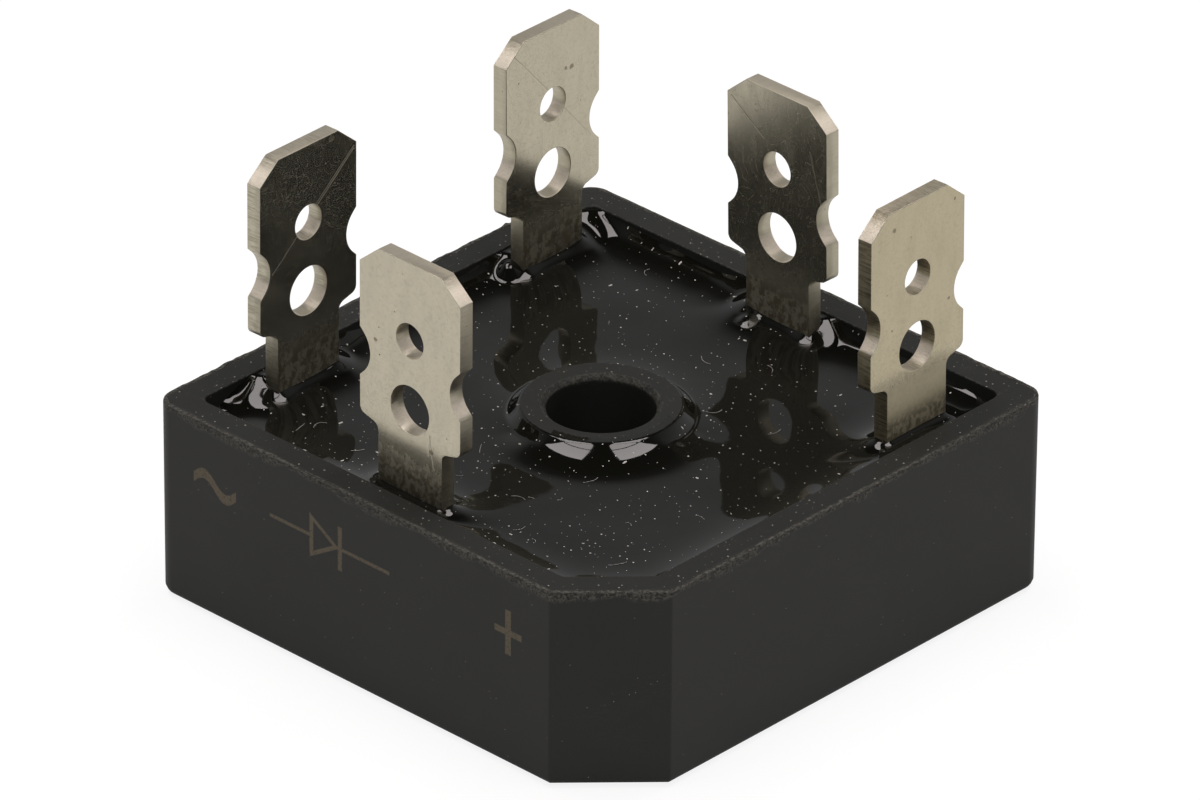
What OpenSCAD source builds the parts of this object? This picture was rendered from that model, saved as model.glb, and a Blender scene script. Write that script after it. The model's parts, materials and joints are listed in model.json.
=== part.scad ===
// Three-phase bridge rectifier in a square potted case, with five push-on
// tabs and a screw tube through its middle. Six diode chips lie in pairs
// between two copper buses. Millimetres, +Z up. The origin is at the middle
// of the mounting surface; the -Y side is the one that carries the marks,
// and the cut corner is where +X meets -Y.

/* [Case] */
// Side of the square case, face to face
case_side = 28.5; // [27.5:0.1:31]
// Height of the rim above the mounting surface
case_h = 10; // [9.6:0.1:12]
// Thickness of the side walls
wall = 1.5; // [1.2:0.05:1.7]
// Length that the cut corner takes off each side
corner_cut = 3.8; // [2.6:0.1:5]
// Radius of the three round outer corners
corner_r = 1; // [0.4:0.1:1.6]
// Radius of the corners inside the walls
cavity_r = 0.5; // [0.3:0.1:1]
// Bevel around the bottom edge
foot_bevel = 0.35; // [0.1:0.05:0.6]
// Thickness of the moulded floor that insulates the base plate
floor_t = 0.6; // [0.4:0.1:1]

/* [Screw tube] */
// Diameter of the hole for the mounting screw
bore_d = 5; // [4.4:0.1:5.4]
// Outer diameter of the tube around that hole
tube_d = 7.4; // [6.8:0.1:8]
// Depth of the tube's end below the rim
tube_drop = 0.3; // [0.1:0.1:0.6]
// Chamfer at the mouth of the hole
mouth_chamfer = 0.25; // [0.1:0.05:0.4]

/* [Base plate] */
// Thickness of the metal base plate
plate_t = 1.6; // [1.2:0.1:2]
// Width of the moulded border left around the plate
plate_border = 1.2; // [0.8:0.1:1.6]
// Height by which the plate stands proud of the case
plate_proud = 0.1; // [0.05:0.05:0.3]
// Radius of the plate's corners
plate_r = 1; // [0.5:0.1:2]
// Radial room between the plate's hole and the screw hole
plate_hole_room = 0.3; // [0.2:0.05:0.5]

/* [Push-on tabs] */
// Width of a tab
tab_w = 6.3; // [6:0.1:6.6]
// Thickness of the terminals' sheet
tab_t = 0.8; // [0.6:0.05:0.9]
// Height of the tips above the mounting surface
tab_top = 21.2; // [20.4:0.1:23]
// Length of a tab from tip to shoulder
tab_len = 8.7; // [8.3:0.1:9.4]
// Width of the corner cuts at the tip
tip_cut_w = 1.2; // [0.6:0.1:1.6]
// Height of the corner cuts at the tip
tip_cut_h = 1; // [0.6:0.1:1.6]
// Diameter of the upper hole, which a latch snaps into
latch_hole_d = 1.8; // [1.4:0.1:2.1]
// Distance of the latch hole below the tip
latch_hole_down = 3.9; // [3.4:0.1:4.4]
// Diameter of the lower hole, which a wire can be soldered through
wire_hole_d = 2.5; // [2:0.1:2.7]
// Distance of the wire hole below the tip
wire_hole_down = 7.4; // [7:0.1:7.8]
// Distance of the middle of the side notches below the tip
notch_down = 5.55; // [5.2:0.05:5.9]
// Length of a side notch at the tab's edge
notch_len = 2.45; // [2:0.05:2.7]
// Depth of a side notch
notch_depth = 0.65; // [0.4:0.05:0.8]
// Radius of the shoulder's outer corner
shoulder_r = 0.3; // [0.1:0.05:0.5]
// Width of the neck under the shoulders
neck_w = 4; // [3.6:0.1:4.6]
// Radius where the neck meets the shoulders
neck_r = 0.3; // [0.1:0.05:0.5]
// Inner radius of the bend between neck and foot
bend_r = 0.8; // [0.5:0.1:1]

/* [Terminal places] */
// Depth of a tab's outer face inside the case's face
set_in = 2.15; // [2:0.05:2.6]
// The same depth for the positive terminal
positive_set_in = 2.6; // [2.2:0.05:3]
// The same depth for the third AC terminal
ac3_set_in = 2.85; // [2.3:0.05:3]
// Distance of the first AC terminal's middle from the marked side
ac1_from_side = 6.95; // [6.45:0.05:7.65]
// Distance of the second AC terminal's middle from the opposite side
ac2_from_side = 5.55; // [5.35:0.05:6.85]
// Distance of the third AC terminal's middle from that same side
ac3_from_side = 5.7; // [5.45:0.05:6.85]
// Place of the positive terminal along the marked side
positive_along = -0.65; // [-1.5:0.05:1.5]
// Place of the negative terminal along the side opposite the marks
negative_along = 0.25; // [-1.5:0.05:1.5]
// Height by which the first AC terminal's tip stands above the others
ac1_rise = 0.2; // [0:0.05:0.5]
// Height by which the third AC terminal's tip stands below the others
ac3_sink = 0.2; // [0:0.05:0.5]

/* [Circuit] */
// Side of a diode chip
chip_w = 4.2; // [3.6:0.1:4.4]
// Thickness of a diode chip
chip_t = 0.3; // [0.2:0.05:0.45]
// Width of the glass edge around a chip's upper contact
chip_edge = 0.3; // [0.1:0.05:0.5]
// Depth of that glass edge below the upper contact
chip_step = 0.08; // [0.04:0.02:0.12]
// Distance of the chips' middle from the tab's inner face
chip_in = 3.9; // [3.8:0.1:4.2]
// Thickness of a solder joint
solder_t = 0.1; // [0.05:0.05:0.2]
// Length of foot that reaches past its chips
foot_over = 0.2; // [0.1:0.1:0.5]
// Length of the two direct-current feet from their tab's inner face
dc_foot = 4.6; // [4:0.1:5]
// Thickness of the two copper buses
bus_t = 0.8; // [0.6:0.1:1]
// Radius of the buses' outer corners
bus_r = 1.5; // [0.5:0.1:2]
// Room between the positive bus and the walls
bus_wall_room = 0.8; // [0.5:0.1:1.2]
// Room between the tube and the holes of both buses
bus_tube_room = 1.2; // [0.8:0.1:1.5]
// Room between the negative bus and the necks that rise past it
bus_neck_room = 1; // [0.8:0.1:1.2]

/* [Potting] */
// Depth of the potting's flat level below the rim
fill_drop = 1.05; // [0.9:0.05:1.4]
// Height that the potting climbs up the walls
wall_climb = 0.65; // [0.3:0.05:0.8]
// Distance over which it falls from the walls to its level
wall_reach = 1.7; // [1:0.1:2.2]
// Height that the potting climbs up the screw tube
tube_climb = 0.65; // [0.3:0.05:0.7]
// Distance over which it falls from the tube to its level
tube_reach = 2; // [1:0.1:2.5]
// Height that the potting climbs up the necks
neck_climb = 0.6; // [0.2:0.05:0.9]
// Distance over which it falls from a neck to its level
neck_reach = 1.3; // [0.6:0.1:1.8]

/* [Hidden] */
$fn = 48;

// How far cutting shapes run past what they cut
over = 0.5;
// Steps in each curve of the outlines and of the potting's rise
steps = 6;
// How far the potting's rise runs on inside what it climbs
tuck = 0.05;

// Colours
case_colour = "#2e2e2c";
potting_colour = "#26221a";
nickel_colour = "#b8b29c";
copper_colour = "#b87349";
plate_colour = "#c2c4c6";
chip_colour = "#4c5058";
solder_colour = "#a6a6a2";

half = case_side / 2;
tube_r = tube_d / 2;
bore_r = bore_d / 2;
tube_top = case_h - tube_drop;
fill_z = case_h - fill_drop;
floor_z = plate_t + floor_t;

// Heights of the stack: each layer lies on the one before it
chip_stack = chip_t + 2 * solder_t;
positive_bus_z = floor_z;
lower_chip_z = positive_bus_z + bus_t;
ac_foot_z = lower_chip_z + chip_stack;
upper_chip_z = ac_foot_z + tab_t;
negative_bus_z = upper_chip_z + chip_stack;
positive_foot_z = positive_bus_z + bus_t + solder_t;
negative_foot_z = negative_bus_z + bus_t + solder_t;

// Each terminal stands at a side: the turn of the side, its place along the
// side as that turn leaves it, its depth inside the face, its foot's height,
// its foot's length from the tab's inner face and its tip's height
ac_foot = chip_in + chip_w / 2 + foot_over;
AC = [
    [0, ac1_from_side - half, set_in, ac_foot_z, ac_foot, tab_top + ac1_rise],
    [0, half - ac2_from_side, set_in, ac_foot_z, ac_foot, tab_top],
    [180, ac3_from_side - half, ac3_set_in, ac_foot_z, ac_foot, tab_top - ac3_sink]];
POSITIVE = [90, -positive_along, positive_set_in, positive_foot_z, dc_foot, tab_top];
NEGATIVE = [-90, negative_along, set_in, negative_foot_z, dc_foot, tab_top];
TERMINALS = concat(AC, [POSITIVE, NEGATIVE]);

// Points of an arc about a centre
function arc(centre, r, from, to) =
    [for (i = [0:steps]) let (a = from + (to - from) * i / steps) centre + r * [cos(a), sin(a)]];

// The same points on the other side of the middle line, in the other order
function mirrored(points) =
    [for (i = [len(points) - 1:-1:0]) [-points[i][0], points[i][1]]];

// Cross-section of liquid that climbs a wall at u = 0 and falls to its level
function climb(reach, rise) =
    [for (i = [0:steps]) let (a = 90 * i / steps)
        [(reach + tuck) * (1 - sin(a)) - tuck, rise * (1 - cos(a))]];

// The same section closed below its level
function climb_bar(reach, rise) =
    concat(climb(reach, rise), [[-tuck, -over], [reach, -over]]);

// What the cut corner takes off a square that lies inset inside the case
function inset_cut(inset) = corner_cut - inset * (2 - sqrt(2));

// Distance of the cut corner's face from the middle, at that inset
function cut_face(inset) = (case_side - corner_cut) / sqrt(2) - inset;

// Outline of the case, moved inwards, with its own corner radius
module plan(inset, r) {
    side = case_side - 2 * inset;
    cut = inset_cut(inset);
    difference() {
        union() {
            square([side, side - 2 * r], center = true);
            square([side - 2 * r, side], center = true);
            for (x = [-1, 1], y = [-1, 1])
                translate([x * (side / 2 - r), y * (side / 2 - r)]) circle(r);
        }
        translate([side / 2, -side / 2]) rotate(45) square(cut * sqrt(2), center = true);
    }
}

// Moves what is drawn at the -X side to a terminal's own side and place
module at_side(t) {
    rotate(t[0]) translate([-half + t[2], t[1], 0]) children();
}

// Bar whose section is drawn in the X-Z plane and which runs along Y
module along_y(length) {
    rotate([90, 0, 0]) linear_extrude(length, center = true) children();
}

module case() {
    color(case_colour)
    difference() {
        union() {
            difference() {
                translate([0, 0, plate_proud])
                    linear_extrude(case_h - plate_proud) plan(0, corner_r);
                edge_waste();
                translate([0, 0, floor_z]) linear_extrude(case_h) plan(wall, cavity_r);
            }
            translate([0, 0, plate_t]) cylinder(h = tube_top - plate_t, r = tube_r);
        }
        translate([0, 0, -over]) linear_extrude(plate_t + over) plan(plate_border, plate_r);
        translate([0, 0, -over]) cylinder(h = case_h + 2 * over, r = bore_r);
        translate([0, 0, tube_top - mouth_chamfer])
            cylinder(h = 2 * mouth_chamfer, r1 = bore_r, r2 = bore_r + 2 * mouth_chamfer);
    }
}

// What the bevel takes off the bottom edges of the case's four sides and cut corner
module edge_waste() {
    low = plate_proud - over;
    rise = foot_bevel + over;
    for (turn = [0, 90, 180, 270])
        rotate(turn) along_y(2 * case_side)
            polygon([[half - rise, low], [half + over, low],
                [half + over, low + rise + over], [half, low + rise]]);
    rotate(-45) along_y(2 * case_side)
        polygon([[cut_face(rise), low], [cut_face(-over), low],
            [cut_face(-over), low + rise + over], [cut_face(0), low + rise]]);
}

module base_plate() {
    color(plate_colour)
    difference() {
        linear_extrude(plate_t) plan(plate_border, plate_r);
        translate([0, 0, -over])
            cylinder(h = plate_t + 2 * over, r = bore_r + plate_hole_room);
    }
}

// Outline of a terminal seen from its side of the case, with its tip at 0
module terminal_outline(length) {
    edge = tab_w / 2;
    reach = notch_len / 2;
    bottom_r = (reach - notch_depth) / (sqrt(2) - 1);
    right = concat(
        [[neck_w / 2, -length]],
        arc([neck_w / 2 + neck_r, -tab_len - neck_r], neck_r, 180, 90),
        arc([edge - shoulder_r, -tab_len + shoulder_r], shoulder_r, -90, 0),
        [[edge, -notch_down - reach]],
        arc([edge - notch_depth + bottom_r, -notch_down], bottom_r, 225, 135),
        [[edge, -notch_down + reach], [edge, -tip_cut_h], [edge - tip_cut_w, 0]]);
    difference() {
        polygon(concat(right, mirrored(right)));
        translate([0, -latch_hole_down]) circle(d = latch_hole_d);
        translate([0, -wire_hole_down]) circle(d = wire_hole_d);
    }
}

// One terminal: punched blade and neck, a bend, and the foot that runs inwards
module terminal(t) {
    bend_x = tab_t + bend_r;
    bend_z = t[3] + bend_x;
    color(nickel_colour)
    at_side(t) {
        translate([0, 0, t[5]]) rotate([90, 0, 90])
            linear_extrude(tab_t) terminal_outline(t[5] - bend_z);
        translate([bend_x, neck_w / 2, bend_z]) rotate([90, 0, 0]) rotate(180)
            rotate_extrude(angle = 90) translate([bend_r, 0]) square([tab_t, neck_w]);
        translate([bend_x, -neck_w / 2, t[3]])
            cube([t[4] - bend_r, neck_w, tab_t]);
    }
}

// Places what belongs to a terminal's chips: their middle at the given height
module at_chip(t, z) {
    at_side(t) translate([tab_t + chip_in, 0, z]) children();
}

module pad(side, h) {
    translate([-side / 2, -side / 2, 0]) cube([side, side, h]);
}

// A chip has a step of glass around its upper contact
contact_w = chip_w - 2 * chip_edge;
module chip(t, stack_z) {
    color(chip_colour)
    at_chip(t, stack_z + solder_t) {
        pad(chip_w, chip_t - chip_step);
        pad(contact_w, chip_t);
    }
}

module lower_solder(t, stack_z) {
    color(solder_colour) at_chip(t, stack_z) pad(chip_w, solder_t);
}

module upper_solder(t, stack_z) {
    color(solder_colour) at_chip(t, stack_z + solder_t + chip_t) pad(contact_w, solder_t);
}

// Where each bus begins, seen from its own terminal's outer face inwards
positive_bus_edge = wall + bus_wall_room - positive_set_in;
negative_bus_edge = tab_t;

// Solder under the flat stretch of a direct-current foot, as far as the bus goes
module foot_solder(t, bus_edge) {
    start = max(tab_t + bend_r, bus_edge);
    color(solder_colour)
    at_side(t) translate([start, -neck_w / 2, t[3] - solder_t])
        cube([tab_t + t[4] - start, neck_w, solder_t]);
}

module bus_hole(z) {
    translate([0, 0, z - over]) cylinder(h = bus_t + 2 * over, r = tube_r + bus_tube_room);
}

module positive_bus() {
    color(copper_colour)
    difference() {
        translate([0, 0, positive_bus_z])
            linear_extrude(bus_t) plan(wall + bus_wall_room, bus_r);
        bus_hole(positive_bus_z);
    }
}

// The negative bus ends short of each neck that rises past it, and of the
// wall on the side of its own terminal, whose foot lies on it
neck_line = tab_t + bus_neck_room;
negative_bus_x0 = -half + set_in + neck_line;
negative_bus_x1 = half - ac3_set_in - neck_line;
negative_bus_y0 = -half + positive_set_in + neck_line;
negative_bus_y1 = half - set_in - tab_t;
module negative_bus() {
    size = [negative_bus_x1 - negative_bus_x0, negative_bus_y1 - negative_bus_y0];
    color(copper_colour)
    difference() {
        translate([negative_bus_x0, negative_bus_y0, negative_bus_z])
            linear_extrude(bus_t)
                union() {
                    translate([bus_r, 0]) square([size[0] - 2 * bus_r, size[1]]);
                    translate([0, bus_r]) square([size[0], size[1] - 2 * bus_r]);
                    for (x = [bus_r, size[0] - bus_r], y = [bus_r, size[1] - bus_r])
                        translate([x, y]) circle(bus_r);
                }
        bus_hole(negative_bus_z);
    }
}

// The potting's rise along the inside of every wall
module wall_rise() {
    for (turn = [0, 90, 180, 270])
        rotate(turn) translate([wall - half, 0, fill_z])
            along_y(case_side) polygon(climb_bar(wall_reach, wall_climb));
    rotate(135) translate([-cut_face(wall), 0, fill_z])
        along_y(case_side) polygon(climb_bar(wall_reach, wall_climb));
}

module tube_rise() {
    translate([0, 0, fill_z]) rotate_extrude()
        translate([tube_r, 0]) polygon(climb_bar(tube_reach, tube_climb));
}

// Liquid that climbs a bar from both sides, as far up as the bar is wide
module both_sides(half_width) {
    right = [for (p = climb(neck_reach, neck_climb)) [half_width + p[0], p[1]]];
    polygon(concat([[half_width + neck_reach, -over]], right,
        mirrored(right), [[-half_width - neck_reach, -over]]));
}

module neck_rise(t) {
    at_side(t) translate([tab_t / 2, 0, fill_z])
        intersection() {
            along_y(neck_w + 2 * neck_reach) both_sides(tab_t / 2);
            rotate(90) along_y(tab_t + 2 * neck_reach) both_sides(neck_w / 2);
        }
}

module circuit() {
    positive_bus();
    negative_bus();
    for (t = AC, z = [lower_chip_z, upper_chip_z]) {
        chip(t, z);
        lower_solder(t, z);
        upper_solder(t, z);
    }
    foot_solder(POSITIVE, positive_bus_edge);
    foot_solder(NEGATIVE, negative_bus_edge);
    for (t = TERMINALS) terminal(t);
}

module potting() {
    color(potting_colour)
    difference() {
        intersection() {
            union() {
                linear_extrude(fill_z) square(case_side, center = true);
                wall_rise();
                tube_rise();
                for (t = TERMINALS) neck_rise(t);
            }
            translate([0, 0, floor_z]) linear_extrude(case_h - floor_z) plan(wall, cavity_r);
        }
        translate([0, 0, floor_z - over]) cylinder(h = case_h, r = tube_r);
        circuit();
    }
}

case();
base_plate();
potting();
positive_bus();
negative_bus();
terminal(POSITIVE);  // positive_terminal
terminal(NEGATIVE);  // negative_terminal
foot_solder(POSITIVE, positive_bus_edge);  // positive_foot_solder
foot_solder(NEGATIVE, negative_bus_edge);  // negative_foot_solder
for (i = [1:3]) {
    terminal(AC[i - 1]);
    for (level = [["positive_chip_", lower_chip_z], ["negative_chip_", upper_chip_z]]) {
        chip(AC[i - 1], level[1]);
        lower_solder(AC[i - 1], level[1]);
        upper_solder(AC[i - 1], level[1]);
    }
}
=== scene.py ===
"""Bridge rectifier: the finished case, potting and terminals around the packed frame, and their stage.

Lengths in the properties are metres. The origin is the middle of the mounting surface, +Z is up
and -Y is the side that carries the marks.
"""

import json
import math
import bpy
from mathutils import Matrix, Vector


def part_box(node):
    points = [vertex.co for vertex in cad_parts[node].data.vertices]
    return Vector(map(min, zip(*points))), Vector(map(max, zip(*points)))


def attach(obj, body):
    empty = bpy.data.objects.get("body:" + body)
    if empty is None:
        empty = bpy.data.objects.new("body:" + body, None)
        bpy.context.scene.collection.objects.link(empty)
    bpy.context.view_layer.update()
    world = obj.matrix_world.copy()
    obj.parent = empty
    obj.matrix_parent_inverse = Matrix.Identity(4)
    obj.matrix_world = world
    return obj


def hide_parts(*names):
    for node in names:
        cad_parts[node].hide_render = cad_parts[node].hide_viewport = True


bl_info = {
    "name": "Bridge Rectifier",
    "version": (1, 0, 0),
    "blender": (4, 5, 0),
    "location": "View3D > Sidebar > Rectifier",
    "description": "Models the case, the potting and the terminals of a potted bridge rectifier",
    "category": "Object",
}

import bmesh
import bpy
import numpy as np
from mathutils import Euler, Matrix, Vector

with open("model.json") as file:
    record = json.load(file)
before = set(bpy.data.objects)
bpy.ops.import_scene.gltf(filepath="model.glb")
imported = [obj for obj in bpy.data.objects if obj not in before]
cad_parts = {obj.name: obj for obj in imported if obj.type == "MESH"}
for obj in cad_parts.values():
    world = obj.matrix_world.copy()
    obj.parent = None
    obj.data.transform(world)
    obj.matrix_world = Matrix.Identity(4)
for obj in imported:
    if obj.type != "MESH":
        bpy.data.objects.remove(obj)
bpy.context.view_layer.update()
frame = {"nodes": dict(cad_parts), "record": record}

MM = 0.001
SAME = 1e-6  # places closer than this are one
OVER = 0.3 * MM  # how far a cutter stands out of the sheet that it cuts
BODY = "root"

# Each terminal's own turn about the case, as its place in the frame has it, and how it stands:
# its twist about its neck, its lean along its width and its lean outwards, in degrees, and its shift from
# that place in millimetres. Then its tone, how dull it is, the heights between which its neck turns
# stained, the share of pale bloom on its neck, how far the resin fans out from the neck's ends, how
# marked its sheared edges are, its scratches as start and end, and its dull spots as place and radius,
# all in millimetres across the sheet and up from its tip.
TERMINALS = {
    "ac_terminal_1": {
        "turn": 0, "twist": 1.4, "along": -0.64, "outwards": 0.3, "shift": (0, -0.040, -0.045),
        "tone": (1.0, 1.0, 0.98), "dull": 1.3, "stained": (-9.0, -10.6), "bloom": 0.05, "fan": 1.0,
        "sheared": 0.5, "scratches": [((3.05, -1.35), (-2.31, -5.70)), ((3.05, -1.22), (0.40, -3.35))],
        "spots": [((1.61, -0.30), 0.20), ((-1.9, -2.1), 0.10)],
    },
    "ac_terminal_2": {
        "turn": 0, "twist": 1.3, "along": -0.90, "outwards": 1.1, "shift": (0, -0.077, -0.030),
        "tone": (0.96, 0.945, 0.90), "dull": 1.3, "stained": (-9.0, -10.6), "bloom": 0.1, "fan": 1.0,
        "sheared": 0.15, "scratches": [((-2.56, -0.47), (-0.51, -2.80)), ((-0.51, -2.80), (2.37, -6.25))],
        "spots": [((1.34, -2.47), 0.16), ((0.95, -2.40), 0.12), ((0.88, -11.1), 0.45)],
    },
    "ac_terminal_3": {
        "turn": 180, "twist": 1.1, "along": 0.14, "outwards": -1.0, "shift": (0, 0.046, -0.017),
        "tone": (0.93, 0.88, 0.76), "dull": 1.0, "stained": (-10.0, -11.0), "bloom": 0.78, "fan": 0.0,
        "sheared": 0.75, "scratches": [],
        "spots": [((1.54, -0.93), 0.13), ((-2.18, -5.82), 0.12), ((1.67, -5.97), 0.10), ((-2.56, -0.91), 0.09)],
    },
    "positive_terminal": {
        "turn": 90, "twist": -0.8, "along": -0.35, "outwards": -0.4, "shift": (-0.017, 0, -0.085),
        "tone": (1.02, 1.0, 0.97), "dull": 0.8, "stained": (-9.7, -10.5), "bloom": 0.16, "fan": 0.0,
        "sheared": 0.22, "scratches": [((-1.19, -8.30), (-1.49, -9.88)), ((-1.19, -8.30), (-1.15, -9.30))],
        "spots": [((2.22, -4.73), 0.12), ((1.95, -5.4), 0.07), ((-1.30, -9.1), 0.16)],
    },
    "negative_terminal": {
        "turn": -90, "twist": -1.7, "along": 1.18, "outwards": -0.1, "shift": (0.106, 0, 0.015),
        "tone": (0.97, 0.96, 0.93), "dull": 3.5, "stained": (-9.0, -10.6), "bloom": 0.1, "fan": 1.0,
        "sheared": 0.12, "scratches": [((-3.0, -1.2), (-0.9, -2.6)), ((2.0, -2.2), (2.9, -5.2))],
        "spots": [((-1.15, -2.26), 0.07), ((1.2, -8.9), 0.11)],
    },
}

# Beads of resin that set beside two of the necks: place, radius and height in millimetres.
BEADS = (((-11.75, 6.15), 0.42, 0.34), ((-1.05, 10.70), 0.40, 0.13))


def node_box(name):
    lo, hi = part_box(name)
    return Vector(lo), Vector(hi)


CASE_LO, CASE_HI = node_box("case")
POTTING_LO, POTTING_HI = node_box("potting")
PLATE_LO, PLATE_HI = node_box("base_plate")
WALL = POTTING_LO.x - CASE_LO.x
BORE = next(m for m in frame["record"]["mounts"] if m["name"] == "screw_hole")
BORE_R = BORE["dims"]["r_mm"] * MM
TUBE_CHAMFER = 0.25 * MM
TUBE_TOP = BORE["pos_m"][2] + BORE["dims"]["length_mm"] * MM / 2 + TUBE_CHAMFER


# ---------------------------------------------------------------- properties


def length(name, text, millimetres):
    return bpy.props.FloatProperty(
        name=name, description=text, default=millimetres * MM, min=0.0, subtype="DISTANCE", unit="LENGTH",
        precision=5,
    )


def colour(name, text, value):
    return bpy.props.FloatVectorProperty(
        name=name, description=text, default=value, size=3, min=0.0, max=1.0, subtype="COLOR"
    )


def angle(name, text, degrees):
    return bpy.props.FloatProperty(
        name=name, description=text, default=math.radians(degrees), subtype="ANGLE", unit="ROTATION"
    )


def amount(name, text, value, high=1.0):
    return bpy.props.FloatProperty(name=name, description=text, default=value, min=0.0, max=high)


class CaseSettings(bpy.types.PropertyGroup):
    """Sizes and colours of the moulded case"""

    corner_cut: length("Corner cut", "Length that the cut corner takes off each side", 3.8)
    corner_radius: length("Corner radius", "Radius of the three round outer corners", 1.0)
    cavity_radius: length("Cavity radius", "Radius of the corners inside the walls", 0.5)
    foot_bevel: length("Foot bevel", "Bevel around the bottom edge", 0.35)
    edge_radius: length("Edge radius", "Rounding of the moulded edges", 0.07)
    tube_radius: length("Tube radius", "Outer radius of the screw tube", 3.7)
    plate_corner: length("Plate corner", "Radius of the recess for the base plate", 1.0)
    flash_height: length("Flash height", "Largest height of the flash along the rim", 0.13)
    flash_width: length("Flash width", "Width of the flash along the rim", 0.16)
    body: colour("Case colour", "Colour of the moulding", (0.0225, 0.0235, 0.0215))
    scuff: colour("Scuff colour", "Colour of the scuffed and broken edges", (0.105, 0.100, 0.085))
    mark: colour("Mark colour", "Colour of the laser marks", (0.150, 0.125, 0.085))


class PottingSettings(bpy.types.PropertyGroup):
    """Shape and colour of the potting's surface"""

    level: length("Level", "Height of the flat surface above the mounting surface", 8.95)
    cells: bpy.props.IntProperty(name="Cells", description="Cells of the surface along each side", default=290)
    wall_climb: length("Wall climb", "Height that it climbs up the bare walls", 0.62)
    rim_climb: length("Rim climb", "Height that it climbs where a neck or the far corner draws it up", 0.96)
    tube_climb: length("Tube climb", "Height that it climbs up the screw tube", 0.72)
    neck_climb: length("Neck climb", "Height that it climbs up the necks", 0.50)
    corner_dip: length("Corner dip", "How far it sinks in the two empty corners", 0.12)
    fibre: length("Fibre", "Thickness of the lint fibres", 0.022)
    resin: colour("Resin colour", "Colour of the resin itself", (0.0052, 0.0052, 0.0040))
    dust: colour("Dust colour", "Colour of the specks that lie on it", (0.62, 0.60, 0.56))


class TabSettings(bpy.types.PropertyGroup):
    """Sizes and colours of the push-on terminals"""

    width: length("Width", "Width of a tab", 6.3)
    thickness: length("Thickness", "Thickness of the sheet", 0.8)
    tip_cut_width: length("Tip cut width", "Width of the corner cuts at the tip", 1.2)
    tip_cut_height: length("Tip cut height", "Height of the corner cuts at the tip", 1.0)
    latch_radius: length("Latch hole radius", "Radius of the upper hole", 0.9)
    latch_down: length("Latch hole depth", "Distance of the upper hole below the tip", 3.9)
    wire_radius: length("Wire hole radius", "Radius of the lower hole", 1.25)
    wire_down: length("Wire hole depth", "Distance of the lower hole below the tip", 7.4)
    notch_down: length("Notch depth", "Distance of the side notches below the tip", 5.55)
    notch_length: length("Notch length", "Length of a side notch at the edge", 2.45)
    notch_depth: length("Notch cut", "Depth of a side notch", 0.65)
    shoulder_down: length("Shoulder", "Distance of the shoulders below the tip", 8.6)
    shoulder_fall: length("Shoulder fall", "How far the shoulders slope down to the neck", 0.3)
    neck_width: length("Neck width", "Width of the neck", 4.0)
    bend_radius: length("Bend radius", "Inner radius of the bend to the foot", 0.8)
    edge_radius: length("Edge radius", "Rounding of the punched edges", 0.085)
    nickel: colour("Nickel colour", "Colour of the plating", (0.56, 0.53, 0.425))
    stain: colour("Stain colour", "Colour of the dull spots on the plating", (0.20, 0.165, 0.11))
    # painted highlight: the pale colour given to edges that face upwards aslant, in place of the lamps' glint
    painted_glint_colour: colour("Burnish colour", "Colour of the burnished edges", (0.98, 0.88, 0.74))


class InnerSettings(bpy.types.PropertyGroup):
    """Colours of the base plate and of the circuit inside the potting"""

    plate: colour("Plate colour", "Colour of the base plate", (0.60, 0.59, 0.56))
    copper: colour("Copper colour", "Colour of the buses", (0.72, 0.36, 0.20))
    silicon: colour("Chip colour", "Colour of the chips", (0.10, 0.11, 0.13))
    solder: colour("Solder colour", "Colour of the solder joints", (0.45, 0.45, 0.43))


class StageSettings(bpy.types.PropertyGroup):
    """Camera, lamps and floor"""

    azimuth: angle("Azimuth", "Direction of the camera round the part", 43.407)
    elevation: angle("Elevation", "Height of the camera over the floor", 29.603)
    roll: angle("Roll", "Turn of the camera about its own line of sight", 0.424)
    distance: length("Distance", "Distance of the camera from the point it looks at", 540.0)
    aim: bpy.props.FloatVectorProperty(
        name="Aim", description="Point that the camera looks at", default=(1.888, -2.077, 11.401),
        size=3, unit="NONE",
    )
    lens: bpy.props.FloatProperty(name="Lens", description="Focal length in millimetres", default=361.56)
    lamp_height: length("Lamp height", "Height of the two soft lamps", 620.0)
    lamp_radiance: amount("Lamp radiance", "Brightness of the lamps' faces", 5.4, 20.0)
    fill_radiance: amount("Fill radiance", "Brightness of the weak lamp by the camera", 0.7, 20.0)
    floor_white: amount("Floor white", "Whiteness of the floor in the light", 0.80)


# ---------------------------------------------------------------- shader expressions


def math_node(operation, swapped=False):
    """A method that adds a Math node on a value and its other operands."""

    def method(self, *others):
        inputs = [*others, self] if swapped else [self, *others]
        return self.finish.node("Math", {"operation": operation}, inputs).value()

    return method


class Value:
    """A number in a node tree, on which Python's operators add Math nodes."""

    def __init__(self, finish, socket):
        self.finish = finish
        self.socket = socket

    __add__ = __radd__ = math_node("ADD")
    __mul__ = __rmul__ = math_node("MULTIPLY")
    __sub__ = math_node("SUBTRACT")
    __rsub__ = math_node("SUBTRACT", swapped=True)
    __truediv__ = math_node("DIVIDE")
    __pow__ = math_node("POWER")
    __lt__ = math_node("LESS_THAN")
    __abs__ = math_node("ABSOLUTE")
    sin = math_node("SINE")
    least = math_node("MINIMUM")
    most = math_node("MAXIMUM")


class Made:
    """A node just added, with its outputs by name or place."""

    def __init__(self, finish, node):
        self.finish = finish
        self.node = node

    def value(self, output=0):
        return Value(self.finish, self.node.outputs[output])

    def socket(self, output=0):
        return self.node.outputs[output]


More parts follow.
